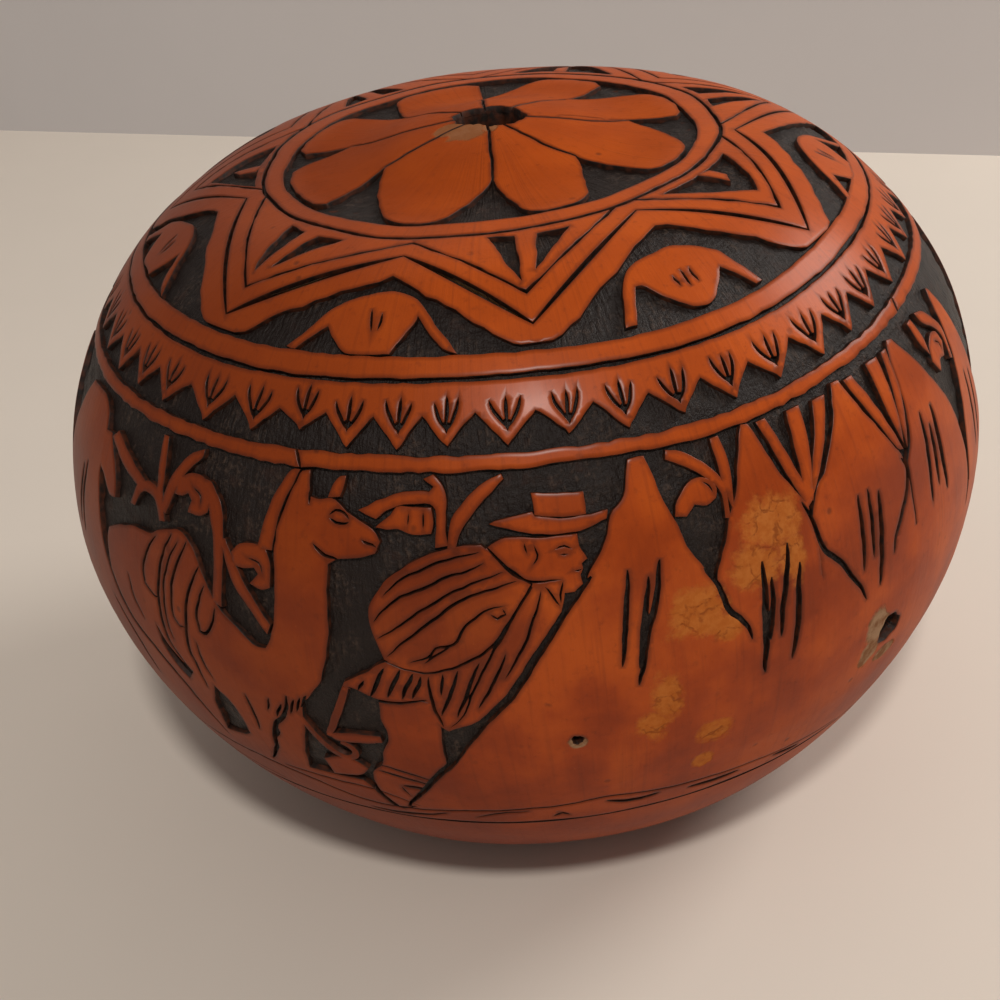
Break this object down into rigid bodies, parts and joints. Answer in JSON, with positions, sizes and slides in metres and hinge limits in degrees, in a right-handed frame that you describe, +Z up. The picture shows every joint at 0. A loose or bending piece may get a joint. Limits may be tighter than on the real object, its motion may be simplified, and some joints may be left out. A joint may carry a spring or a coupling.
{
  "type": "carved gourd box",
  "caption": "Round dried-gourd box, carved in relief, with a star-cut lid that wedges into the top and lifts off by hand.",
  "frame": {"origin": "centre of the flat underside, on the gourd's own axis, at the height it stands on", "axes": "+Z up along the gourd's axis through the stem hole, -Y towards the front, where the carved walker and the mountains are, +X to the right seen from the front"},
  "size_m": [0.131, 0.131, 0.0976],
  "materials": {
    "bowl_rind": "satin rust-orange skin over a darkened carved ground",
    "lid_rind": "satin rust-orange skin over a darkened carved ground"
  },
  "bodies": {
    "bowl": {"gourd_bowl": "bowl_rind"},
    "lid": {"gourd_lid": "lid_rind"}
  },
  "joints": [
    {"name": "lid_lift", "type": "slide", "parent": "bowl", "child": "lid", "axis": [0, 0, 1], "range_m": [0, 0.06]}
  ]
}
